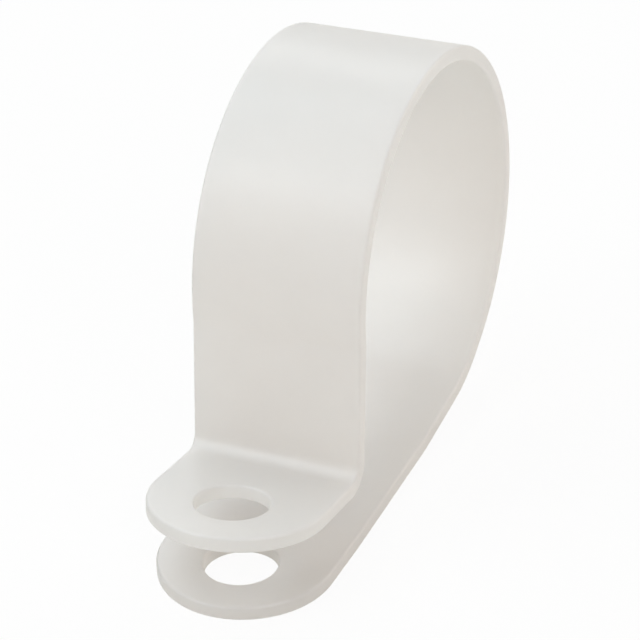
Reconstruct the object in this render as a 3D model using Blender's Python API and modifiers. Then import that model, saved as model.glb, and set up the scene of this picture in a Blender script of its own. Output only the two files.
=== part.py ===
"""P-type cable clamp: one moulded nylon strap, curled into a loop for a cable bundle, with two screw tabs.

Frame: X runs across the strap, along the cable. +Y points from the screw tabs to the back of the loop.
+Z is up, off the surface that the clamp is screwed to. The origin is at the middle of the clamp's bottom.
Lengths are in metres.
"""

from math import acos, ceil, cos, pi, radians, sin

import bmesh
import bpy
from mathutils import Vector

MM = 0.001

# The strap's section and the screw holes
STRAP_WIDTH = 12.7 * MM
STRAP_THICKNESS = 1.1 * MM
EDGE_ROUND = 0.2 * MM
SCREW_HOLE_DIAMETER = 5.2 * MM
HOLE_TO_TIP = 5.3 * MM

# The loop, measured on its inside
BUNDLE_DIAMETER = 27.0 * MM

# The lower tab's flat underside, from its tip, and the base, which rises gently and then more steeply
PAD_LENGTH = 11.0 * MM
RAMP_RISE = radians(2.4)
RAMP_RADIUS = 6.0 * MM
SLOPE_TURN = radians(5.5)
SLOPE_RADIUS = 8.0 * MM
SLOPE_LENGTH = 5.7 * MM

# The heel, a bend tighter than the loop's, and the short straight between them
HEEL_TURN = radians(25.5)
HEEL_RADIUS = 9.3 * MM
HEEL_LENGTH = 1.2 * MM

# The neck below the loop, the front leg, which leans forward, and the upper tab, which rises to its tip
NECK_TURN = radians(8.2)
NECK_RADIUS = 3.5 * MM
LEG_LEAN = radians(6.2)
TAB_BEND_RADIUS = 1.8 * MM
TAB_RISE = radians(7.7)
TAB_LENGTH = 10.4 * MM

# How the upper tab's hole lies over the lower tab's: the clear height between, and how far forward it is
TAB_GAP = 4.3 * MM
TAB_STAGGER = 0.8 * MM

# How finely the rounds are divided: how far a bend's facets may stray from its arc, and counts of steps
FACET_SAG = 0.005 * MM
TAB_END_STEPS = 16
HOLE_SIDES = 48
EDGE_STEPS = 3

# Edges sharper than this are rounded. From facet to facet the bends turn less, so they stay as they are.
CREASE_ANGLE = radians(50.0)

# A bevel's profile that follows a circle
ROUND_PROFILE = 0.5

MERGE = 0.001 * MM
HALF_THICKNESS = STRAP_THICKNESS / 2


def heading(angle):
    """The unit vector in the side view, as (y, z), for an angle measured from +Y up to +Z."""
    return Vector((cos(angle), sin(angle)))


LEG_HEADING = 1.5 * pi - LEG_LEAN
TAB_HEADING = pi - TAB_RISE


def strap_route(base_run, leg_run):
    """The strap's middle line from the lower tip to the upper, as runs (length) and turns (radius, angle).

    A turn towards the inside of the loop is positive. The loop takes up the turn that the other bends leave.
    """
    loop_turn = LEG_HEADING + NECK_TURN - RAMP_RISE - SLOPE_TURN - HEEL_TURN
    return [
        (PAD_LENGTH,),
        (RAMP_RADIUS + HALF_THICKNESS, RAMP_RISE),
        (base_run,),
        (SLOPE_RADIUS + HALF_THICKNESS, SLOPE_TURN),
        (SLOPE_LENGTH,),
        (HEEL_RADIUS + HALF_THICKNESS, HEEL_TURN),
        (HEEL_LENGTH,),
        (BUNDLE_DIAMETER / 2 + HALF_THICKNESS, loop_turn),
        (NECK_RADIUS + HALF_THICKNESS, -NECK_TURN),
        (leg_run,),
        (TAB_BEND_RADIUS + HALF_THICKNESS, TAB_HEADING - LEG_HEADING),
        (TAB_LENGTH,),
    ]


def walk(route):
    """The points of a route in the side view, from the lower tip at its place over the mounting face."""
    here, angle = Vector((-HOLE_TO_TIP, HALF_THICKNESS)), 0.0
    points = [here]
    for step in route:
        if len(step) == 1:
            here = here + heading(angle) * step[0]
            points.append(here)
            continue
        radius, turn = step
        side = 1 if turn > 0 else -1
        centre = here + heading(angle + side * pi / 2) * radius
        count = ceil(abs(turn) / (2 * acos(1 - FACET_SAG / radius)))
        for i in range(1, count + 1):
            points.append(centre - heading(angle + turn * i / count + side * pi / 2) * radius)
        here, angle = points[-1], angle + turn
    return points


def closed_runs():
    """The lengths of the base and the front leg that bring the upper hole to its place over the lower one."""
    tip = walk(strap_route(0.0, 0.0))[-1]
    upper_hole = Vector((-TAB_STAGGER, HALF_THICKNESS + TAB_GAP + STRAP_THICKNESS))
    short = upper_hole + heading(TAB_HEADING) * HOLE_TO_TIP - tip
    base, leg = heading(RAMP_RISE), heading(LEG_HEADING)
    area = base.cross(leg)
    return short.cross(leg) / area, base.cross(short) / area


def new_collection(name):
    """A new collection in the scene."""
    collection = bpy.data.collections.new(name)
    bpy.context.scene.collection.children.link(collection)
    return collection


def nylon():
    """Natural nylon: milky white, a little see-through, with a satin surface."""
    material = bpy.data.materials.new("natural_nylon")
    material.use_nodes = True
    shader = material.node_tree.nodes["Principled BSDF"]
    shader.inputs["Base Color"].default_value = (0.86, 0.84, 0.80, 1.0)
    shader.inputs["Roughness"].default_value = 0.42
    shader.inputs["Metallic"].default_value = 0.0
    shader.inputs["Subsurface Weight"].default_value = 0.4
    return material


def ribbon(points):
    """The strap as a surface of no thickness: its middle line swept across its width, with round tab ends."""
    bm = bmesh.new()
    line = [bm.verts.new((-STRAP_WIDTH / 2, p.x, p.y)) for p in points]
    edges = [bm.edges.new(pair) for pair in zip(line, line[1:])]
    swept = bmesh.ops.extrude_edge_only(bm, edges=edges)["geom"]
    far_line = [item for item in swept if isinstance(item, bmesh.types.BMVert)]
    bmesh.ops.translate(bm, verts=far_line, vec=(STRAP_WIDTH, 0, 0))
    corners = [v for v in bm.verts if len(v.link_faces) == 1]
    bmesh.ops.bevel(
        bm,
        geom=corners,
        offset=STRAP_WIDTH / 2,
        segments=TAB_END_STEPS,
        profile=ROUND_PROFILE,
        affect="VERTICES",
    )
    bmesh.ops.remove_doubles(bm, verts=bm.verts, dist=MERGE)
    mesh = bpy.data.meshes.new("strap_surface")
    bm.to_mesh(mesh)
    bm.free()
    mesh.shade_smooth()
    return mesh


def hole_cutter(name, centre, tilt, cutters):
    """A round cutter through one tab. Its axis leans with the tab."""
    bpy.ops.mesh.primitive_cylinder_add(
        vertices=HOLE_SIDES,
        radius=SCREW_HOLE_DIAMETER / 2,
        depth=2 * STRAP_THICKNESS,
        location=(0, centre.x, centre.y),
        rotation=(tilt, 0, 0),
    )
    cutter = bpy.context.object
    cutter.name = name
    cutter.hide_render = True
    cutter.display_type = "WIRE"
    for collection in cutter.users_collection:
        collection.objects.unlink(cutter)
    cutters.objects.link(cutter)
    return cutter


def build():
    """Builds the clamp from its ribbon: thickness, then the two screw holes, then the rounded edges."""
    for old in list(bpy.data.objects):
        bpy.data.objects.remove(old)
    parts, cutters = new_collection("p_type_cable_clamp"), new_collection("cutters")

    points = walk(strap_route(*closed_runs()))
    middle = (min(p.x for p in points) + max(p.x for p in points) + HALF_THICKNESS) / 2
    points = [p - Vector((middle, 0)) for p in points]

    strap = bpy.data.objects.new("strap", ribbon(points))
    strap.data.materials.append(nylon())
    parts.objects.link(strap)
    wall = strap.modifiers.new("wall", "SOLIDIFY")
    wall.thickness = STRAP_THICKNESS
    wall.offset = 0
    wall.use_even_offset = True

    lower_hole = points[0] + heading(0.0) * HOLE_TO_TIP
    upper_hole = points[-1] - heading(TAB_HEADING) * HOLE_TO_TIP
    for name, centre, tilt in (("lower", lower_hole, 0.0), ("upper", upper_hole, -TAB_RISE)):
        cut = strap.modifiers.new(f"{name}_hole", "BOOLEAN")
        cut.operation = "DIFFERENCE"
        cut.object = hole_cutter(f"{name}_hole_cutter", centre, tilt, cutters)

    edges = strap.modifiers.new("rounded_edges", "BEVEL")
    edges.width = EDGE_ROUND
    edges.segments = EDGE_STEPS
    edges.limit_method = "ANGLE"
    edges.angle_limit = CREASE_ANGLE


build()
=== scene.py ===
"""The look of a p-type cable clamp: one strap of natural nylon, milky and a little see-through, on white.

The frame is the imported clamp, in metres. +Y points from the screw tabs to the back of the loop, +Z up.
The strap's skin is laid out flat, as a long blank with round ends and two holes. It is then bent along
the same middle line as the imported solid, which it replaces. Only its bend at the upper tab is tighter.
"""

from math import acos, atan2, ceil, cos, pi, radians, sin

import bmesh
import bpy
from mathutils import Matrix, Vector, noise

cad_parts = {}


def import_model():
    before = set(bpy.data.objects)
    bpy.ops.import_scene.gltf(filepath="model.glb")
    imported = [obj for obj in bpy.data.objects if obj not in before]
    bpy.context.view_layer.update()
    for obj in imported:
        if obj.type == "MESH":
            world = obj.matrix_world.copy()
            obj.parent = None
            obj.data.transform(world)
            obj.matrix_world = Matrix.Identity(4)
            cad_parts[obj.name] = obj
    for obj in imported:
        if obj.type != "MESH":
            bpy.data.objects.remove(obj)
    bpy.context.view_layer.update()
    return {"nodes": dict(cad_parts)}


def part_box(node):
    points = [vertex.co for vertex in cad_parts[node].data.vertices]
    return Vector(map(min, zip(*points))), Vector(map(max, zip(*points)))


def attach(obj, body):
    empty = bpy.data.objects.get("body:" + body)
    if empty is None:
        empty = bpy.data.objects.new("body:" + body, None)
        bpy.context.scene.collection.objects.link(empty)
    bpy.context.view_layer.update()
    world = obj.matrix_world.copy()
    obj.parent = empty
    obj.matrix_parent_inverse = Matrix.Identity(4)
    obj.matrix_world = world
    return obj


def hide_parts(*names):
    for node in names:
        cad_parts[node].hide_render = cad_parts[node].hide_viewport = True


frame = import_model()

MM = 0.001

# The strap's sizes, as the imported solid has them
STRAP_THICKNESS = 1.1 * MM
EDGE_ROUND = 0.2 * MM
HOLE_RADIUS = 2.6 * MM
HOLE_TO_TIP = 5.3 * MM
BUNDLE_DIAMETER = 27.0 * MM
PAD_LENGTH = 11.0 * MM
RAMP_RISE = radians(2.4)
RAMP_RADIUS = 6.0 * MM
SLOPE_TURN = radians(5.5)
SLOPE_RADIUS = 8.0 * MM
SLOPE_LENGTH = 5.7 * MM
HEEL_TURN = radians(25.5)
HEEL_RADIUS = 9.3 * MM
HEEL_LENGTH = 1.2 * MM
NECK_TURN = radians(8.2)
NECK_RADIUS = 3.5 * MM
LEG_LEAN = radians(6.2)
TAB_RISE = radians(7.7)
TAB_GAP = 4.3 * MM
TAB_STAGGER = 0.8 * MM

# The bend at the upper tab, as tight as in the photograph, and the flat part, longer by what that leaves.
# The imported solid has 1.8 mm inside the bend and 10.4 mm of flat.
TAB_BEND_RADIUS = 1.0 * MM
TAB_LENGTH = 11.22 * MM

HALF_THICKNESS = STRAP_THICKNESS / 2
LEG_HEADING = 1.5 * pi - LEG_LEAN
TAB_HEADING = pi - TAB_RISE

# How finely the skin is divided. On a bend, no chord leaves the middle line by more than the sag. A tab's
# sheet is the part whose faces run in rings round the hole. Its flanks are the straight sides up to the tip.
STATION_STEP = 0.36 * MM
BEND_SAG = 0.0012 * MM
COLUMNS = 30
TIP_STEPS = 72
SHEET_PAST_HOLE = 1.6 * MM
SHEET_FLANK_STEPS = 8
SHEET_RINGS = 10
ROUND_STEPS = 6

# Points of the skin this near to each other are one. Its larger faces count most in the smooth shading.
MERGE_DISTANCE = 0.0005 * MM
SHADING_WEIGHT = 100

# The moulded faces are not quite even: how deep and how long their soft hollows are. The two faces read the
# noise far apart, so their hollows differ.
HOLLOW_DEPTH = 0.02 * MM
HOLLOW_LENGTH = 5.0 * MM
FACE_APART = 100.0 * MM

# Natural nylon. Part of the light goes through the wall, which evens out its two faces and warms its tone.
# That share is taken from the gloss too, and a gloss level of twice the usual 0.5 makes up for it.
SURFACE_COLOURS = (0.88, 0.90, 0.935), (0.91, 0.93, 0.96)
THROUGH_COLOURS = (0.965, 0.915, 0.85), (0.99, 0.95, 0.89)
THROUGH_SHARE = 0.55
NYLON_IOR = 1.53
GLOSS_LEVEL = 1.0
ROUGHNESS = (0.28, 0.38)
CLOUD_LENGTH = 4.0 * MM
CLOUD_DETAIL = 3.0
SATIN_LENGTH = 1.5 * MM
GRAIN_LENGTH = 0.35 * MM
GRAIN_DEPTH = 0.01 * MM
GRAIN_STRENGTH = 0.3
FINE_DETAIL = 2.0

# The camera's place, worked out from the photograph's outline
CAMERA_TARGET = Vector((-4.67, 9.38, 6.17)) * MM
CAMERA_DISTANCE = 200.0 * MM
CAMERA_AZIMUTH = radians(24.98)
CAMERA_ELEVATION = radians(29.82)
CAMERA_ROLL = radians(-2.37)
CAMERA_LENS = 147.98
CAMERA_CLIP_START = 20.0 * MM

# The table, a hair below the clamp. To the camera and to gloss it is mostly plain white, and the rest is its
# own colour, which carries the clamp's shadow.
TABLE_SIZE = 3.0
TABLE_DROP = 0.02 * MM
TABLE_COLOUR = (0.94, 0.92, 0.89)
TABLE_ROUGHNESS = 0.9
TABLE_PLAIN_WHITE = 0.93

# The soft boxes, whose faint colours follow the photograph's tones
LAMP_DISTANCE = 0.5
LAMP_SIZE = 0.3
SMALL_LAMP_SIZE = 0.2
WHITE = (1.0, 1.0, 1.0)
COOL = (0.83, 0.94, 1.0)
WARM = (1.0, 0.89, 0.80)
ROSE = (1.0, 0.96, 0.935)


def heading(angle):
    """The unit vector in the side view, as (y, z), for an angle measured from +Y up to +Z."""
    return Vector((cos(angle), sin(angle)))


def run(length):
    """A straight step of the middle line, as (length, curvature)."""
    return length, 0.0


def turn(inner_radius, angle):
    """A bent step of the middle line, as (length, curvature). A positive angle curls it up and over."""
    radius = inner_radius + HALF_THICKNESS
    return radius * abs(angle), (1 if angle > 0 else -1) / radius


def strap_steps(base_run, leg_run):
    """The middle line from the lower tip to the upper tip. The loop takes up the turn that is left."""
    return [
        run(PAD_LENGTH),
        turn(RAMP_RADIUS, RAMP_RISE),
        run(base_run),
        turn(SLOPE_RADIUS, SLOPE_TURN),
        run(SLOPE_LENGTH),
        turn(HEEL_RADIUS, HEEL_TURN),
        run(HEEL_LENGTH),
        turn(BUNDLE_DIAMETER / 2, LEG_HEADING + NECK_TURN - RAMP_RISE - SLOPE_TURN - HEEL_TURN),
        turn(NECK_RADIUS, -NECK_TURN),
        run(leg_run),
        turn(TAB_BEND_RADIUS, TAB_HEADING - LEG_HEADING),
        run(TAB_LENGTH),
    ]


def developed(steps):
    """The whole length of the middle line."""
    return sum(length for length, curvature in steps)


def trace(steps, distance):
    """The middle line's point and heading, a distance along it. The lower hole is over the origin."""
    here, angle = Vector((-HOLE_TO_TIP, HALF_THICKNESS)), 0.0
    for length, curvature in steps:
        gone = min(distance, length)
        if curvature:
            chord = heading(angle + gone * curvature - pi / 2) - heading(angle - pi / 2)
            here = here + chord / curvature
        else:
            here = here + heading(angle) * gone
        angle += gone * curvature
        distance -= gone
    return here, angle


def closed_steps():
    """The steps whose base and leg bring the upper hole to its place over the lower one."""
    bare = strap_steps(0.0, 0.0)
    tip = trace(bare, developed(bare))[0]
    upper_hole = Vector((-TAB_STAGGER, HALF_THICKNESS + TAB_GAP + STRAP_THICKNESS))
    short = upper_hole + heading(TAB_HEADING) * HOLE_TO_TIP - tip
    base, leg = heading(RAMP_RISE), heading(LEG_HEADING)
    area = base.cross(leg)
    return strap_steps(short.cross(leg) / area, base.cross(short) / area)


def stations(steps, first, last):
    """Distances along the middle line from first to last, closer together where it bends tightly."""
    found, begin = [first], 0.0
    for length, curvature in steps:
        low, high = max(begin, first), min(begin + length, last)
        step = STATION_STEP
        if curvature:
            step = min(step, 2 * acos(1 - BEND_SAG * abs(curvature)) / abs(curvature))
        if high > low:
            count = ceil((high - low) / step)
            found += [low + (high - low) * i / count for i in range(1, count + 1)]
        begin += length
    return found


def patch(bm, rows, closed=False):
    """Quads between rows of points. A closed patch's rows come back to their first points."""
    made = [[bm.verts.new(point) for point in row] for row in rows]
    for row, after in zip(made, made[1:]):
        for i in range(0 if closed else 1, len(row)):
            bm.faces.new((row[i - 1], row[i], after[i], after[i - 1]))


def rim_profile():
    """The rounded edge from the upper face to the lower, as (how far in from the outline, height)."""
    angles = [pi / 2 * i / ROUND_STEPS for i in range(ROUND_STEPS, -1, -1)]
    flat = HALF_THICKNESS - EDGE_ROUND
    upper = [(EDGE_ROUND * (1 - cos(angle)), flat + EDGE_ROUND * sin(angle)) for angle in angles]
    return upper + [(inset, -height) for inset, height in reversed(upper)]


def tip_outline(half, sheet, inset):
    """A tab's outline from side to side round its tip, as (distance from the tip, place across)."""
    radius = half - inset
    flank = [sheet + (half - sheet) * i / SHEET_FLANK_STEPS for i in range(SHEET_FLANK_STEPS)]
    angles = [pi * (i / TIP_STEPS - 0.5) for i in range(TIP_STEPS + 1)]
    nose = [(half - radius * cos(angle), radius * sin(angle)) for angle in angles]
    return [(along, -radius) for along in flank] + nose + [(along, radius) for along in reversed(flank)]


def flat_tab(bm, half, sheet, columns, place):
    """One tab of the flat blank. Its faces run in rings from the hole to the outline and the sheet's end."""
    profile = rim_profile()

    def placed(points, height):
        return [(place(along), across, height) for along, across in points]

    patch(bm, [placed(tip_outline(half, sheet, inset), height) for inset, height in profile])

    loop = tip_outline(half, sheet, EDGE_ROUND) + [(sheet, across) for across in reversed(columns[1:-1])]
    spokes = [atan2(across, along - HOLE_TO_TIP) for along, across in loop]

    def circle(radius):
        return [(HOLE_TO_TIP + radius * cos(angle), radius * sin(angle)) for angle in spokes]

    patch(bm, [placed(circle(HOLE_RADIUS + inset), height) for inset, height in profile], closed=True)
    for height in (-HALF_THICKNESS, HALF_THICKNESS):
        rings = []
        for i in range(SHEET_RINGS + 1):
            pairs = zip(circle(HOLE_RADIUS + EDGE_ROUND), loop)
            mixed = [Vector(near).lerp(Vector(far), i / SHEET_RINGS) for near, far in pairs]
            rings.append(placed(mixed, height))
        patch(bm, rings, closed=True)


def flat_blank(bm, steps, half):
    """The strap before it is bent, as a closed skin in (distance along, place across, height)."""
    length = developed(steps)
    sheet = HOLE_TO_TIP + HOLE_RADIUS + SHEET_PAST_HOLE
    body = stations(steps, sheet, length - sheet)
    face_half = half - EDGE_ROUND
    columns = [face_half * (2 * i / COLUMNS - 1) for i in range(COLUMNS + 1)]
    profile = rim_profile()
    for side in (-1, 1):
        face = [[(along, across, side * HALF_THICKNESS) for across in columns] for along in body]
        edge = [[(along, side * (half - inset), height) for inset, height in profile] for along in body]
        patch(bm, face)
        patch(bm, edge)
    flat_tab(bm, half, sheet, columns, lambda along: along)
    flat_tab(bm, half, sheet, columns, lambda along: length - along)
    bmesh.ops.remove_doubles(bm, verts=bm.verts, dist=MERGE_DISTANCE)


def hollow(along, across, side):
    """How much of its half thickness the strap lacks at a place, on its upper or lower face."""
    value = noise.noise(Vector((along, across, side * FACE_APART)) / HOLLOW_LENGTH)
    share = (1 + value) / 2
    return HOLLOW_DEPTH / HALF_THICKNESS * share


def bend(bm, steps):
    """Bend the flat blank along the middle line, with the soft hollows in its faces."""
    traced = {}
    for vert in bm.verts:
        along, across, height = vert.co
        if along not in traced:
            traced[along] = trace(steps, along)
        here, angle = traced[along]
        height *= 1 - hollow(along, across, 1 if height > 0 else -1)
        point = here + heading(angle + pi / 2) * height
        vert.co = across, point.x, point.y


def make_strap(solid):
    """The strap's skin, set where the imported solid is, which it replaces."""
    low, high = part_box(solid.name)
    steps = closed_steps()
    bm = bmesh.new()
    flat_blank(bm, steps, (high.x - low.x) / 2)
    bend(bm, steps)
    back = max(vert.co.y for vert in bm.verts)
    bmesh.ops.translate(bm, verts=bm.verts, vec=(0, high.y - back, 0))
    bmesh.ops.recalc_face_normals(bm, faces=bm.faces)
    mesh = bpy.data.meshes.new("moulded_strap")
    bm.to_mesh(mesh)
    bm.free()
    mesh.shade_smooth()
    strap = bpy.data.objects.new("moulded_strap", mesh)
    bpy.context.scene.collection.objects.link(strap)
    strap.modifiers.new("even_shading", "WEIGHTED_NORMAL").weight = SHADING_WEIGHT
    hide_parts(solid.name)
    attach(strap, "root")
    return strap


def nylon():
    """Natural nylon: milky and satin, cloudy within, finely uneven on top, and a little see-through."""
    material = bpy.data.materials.new("natural_nylon")
    material.use_nodes = True
    tree = material.node_tree
    shader = tree.nodes["Principled BSDF"]
    shader.inputs["IOR"].default_value = NYLON_IOR
    shader.inputs["Specular IOR Level"].default_value = GLOSS_LEVEL
    place = tree.nodes.new("ShaderNodeTexCoord").outputs["Object"]

    def noise_of(length, detail):
        node = tree.nodes.new("ShaderNodeTexNoise")
        node.inputs["Scale"].default_value = 1 / length
        node.inputs["Detail"].default_value = detail
        tree.links.new(place, node.inputs["Vector"])
        return node.outputs[0]

    def between(value, low, high):
        node = tree.nodes.new("ShaderNodeMix")
        node.data_type = "RGBA"
        node.inputs["A"].default_value = (*low, 1.0)
        node.inputs["B"].default_value = (*high, 1.0)
        tree.links.new(value, node.inputs["Factor"])
        return node.outputs["Result"]

    clouds = noise_of(CLOUD_LENGTH, CLOUD_DETAIL)
    tree.links.new(between(clouds, *SURFACE_COLOURS), shader.inputs["Base Color"])
    satin = tree.nodes.new("ShaderNodeMapRange")
    satin.inputs["To Min"].default_value, satin.inputs["To Max"].default_value = ROUGHNESS
    tree.links.new(noise_of(SATIN_LENGTH, FINE_DETAIL), satin.inputs["Value"])
    tree.links.new(satin.outputs["Result"], shader.inputs["Roughness"])
    grain = tree.nodes.new("ShaderNodeBump")
    grain.inputs["Strength"].default_value = GRAIN_STRENGTH
    grain.inputs["Distance"].default_value = GRAIN_DEPTH
    tree.links.new(noise_of(GRAIN_LENGTH, FINE_DETAIL), grain.inputs["Height"])
    tree.links.new(grain.outputs["Normal"], shader.inputs["Normal"])

    through = tree.nodes.new("ShaderNodeBsdfTranslucent")
    tree.links.new(between(clouds, *THROUGH_COLOURS), through.inputs["Color"])
    blend = tree.nodes.new("ShaderNodeMixShader")
    blend.inputs[0].default_value = THROUGH_SHARE
    tree.links.new(shader.outputs[0], blend.inputs[1])
    tree.links.new(through.outputs[0], blend.inputs[2])
    tree.links.new(blend.outputs[0], tree.nodes["Material Output"].inputs["Surface"])
    return material


def aim(thing, target, azimuth, elevation, distance, roll=0.0):
    """Put a camera or lamp in the scene, facing its target. Azimuth 0 looks along +Y."""
    back = Vector((sin(azimuth) * cos(elevation), -cos(azimuth) * cos(elevation), sin(elevation)))
    thing.location = target + back * distance
    turned = (-back).to_track_quat("-Z", "Y").to_matrix() @ Matrix.Rotation(roll, 3, "Z")
    thing.rotation_euler = turned.to_euler()
    bpy.context.scene.collection.objects.link(thing)


def camera():
    """The camera, at the photograph's viewing angle."""
    data = bpy.data.cameras.new("camera")
    data.lens = CAMERA_LENS
    data.clip_start = CAMERA_CLIP_START
    eye = bpy.data.objects.new("camera", data)
    aim(eye, CAMERA_TARGET, CAMERA_AZIMUTH, CAMERA_ELEVATION, CAMERA_DISTANCE, CAMERA_ROLL)
    bpy.context.scene.camera = eye


def camera_or_gloss(tree):
    """A socket that is 1 for rays from the camera or off gloss, and 0 for what lights the clamp."""
    path = tree.nodes.new("ShaderNodeLightPath")
    either = tree.nodes.new("ShaderNodeMath")
    either.operation = "MAXIMUM"
    tree.links.new(path.outputs["Is Camera Ray"], either.inputs[0])
    tree.links.new(path.outputs["Is Glossy Ray"], either.inputs[1])
    return either.outputs[0]


def floor():
    """A white table top, with the clamp's shadow faintly on it."""
    bpy.ops.mesh.primitive_plane_add(size=TABLE_SIZE, location=(0, 0, -TABLE_DROP))
    plane = bpy.context.object
    plane.name = "floor"
    material = bpy.data.materials.new("white_table")
    material.use_nodes = True
    tree = material.node_tree
    shader = tree.nodes["Principled BSDF"]
    shader.inputs["Base Color"].default_value = (*TABLE_COLOUR, 1.0)
    shader.inputs["Roughness"].default_value = TABLE_ROUGHNESS
    plain_white = tree.nodes.new("ShaderNodeEmission")
    share = tree.nodes.new("ShaderNodeMath")
    share.operation = "MULTIPLY"
    share.inputs[1].default_value = TABLE_PLAIN_WHITE
    tree.links.new(camera_or_gloss(tree), share.inputs[0])
    mix = tree.nodes.new("ShaderNodeMixShader")
    tree.links.new(share.outputs[0], mix.inputs[0])
    tree.links.new(shader.outputs[0], mix.inputs[1])
    tree.links.new(plain_white.outputs[0], mix.inputs[2])
    tree.links.new(mix.outputs[0], tree.nodes["Material Output"].inputs["Surface"])
    plane.data.materials.append(material)


def world():
    """An even white room for the camera and gloss to see. It sheds no light on the clamp."""
    room = bpy.data.worlds.new("white_room")
    room.use_nodes = True
    tree = room.node_tree
    background = tree.nodes["Background"]
    background.inputs["Color"].default_value = (*WHITE, 1.0)
    tree.links.new(camera_or_gloss(tree), background.inputs["Strength"])
    bpy.context.scene.world = room


def lamp(name, azimuth, elevation, watts, colour=WHITE, size=LAMP_SIZE):
    """A square soft box that faces the clamp, from angles in degrees."""
    data = bpy.data.lights.new(name, "AREA")
    data.size = size
    data.energy = watts
    data.color = colour
    box = bpy.data.objects.new(name, data)
    aim(box, Vector((0, 0, 0)), radians(azimuth), radians(elevation), LAMP_DISTANCE)


def lamps():
    """Eight soft boxes all round: the high ones are cool and the low one behind is warm."""
    lamp("front_left", -45, 35, 0.58)
    lamp("front_right", 45, 35, 0.90, ROSE)
    lamp("front_high", -36, 52, 0.29, COOL, SMALL_LAMP_SIZE)
    lamp("left_high", -90, 60, 0.60, COOL)
    lamp("right_high", 90, 60, 0.16, COOL)
    lamp("back_left", -135, 35, 0.49)
    lamp("back_high", 180, 60, 0.48, COOL)
    lamp("back_right_low", 135, 10, 0.99, WARM)


strap = make_strap(frame["nodes"]["strap"])
strap.data.materials.append(nylon())
camera()
floor()
world()
lamps()
bpy.context.scene.view_settings.view_transform = "Standard"
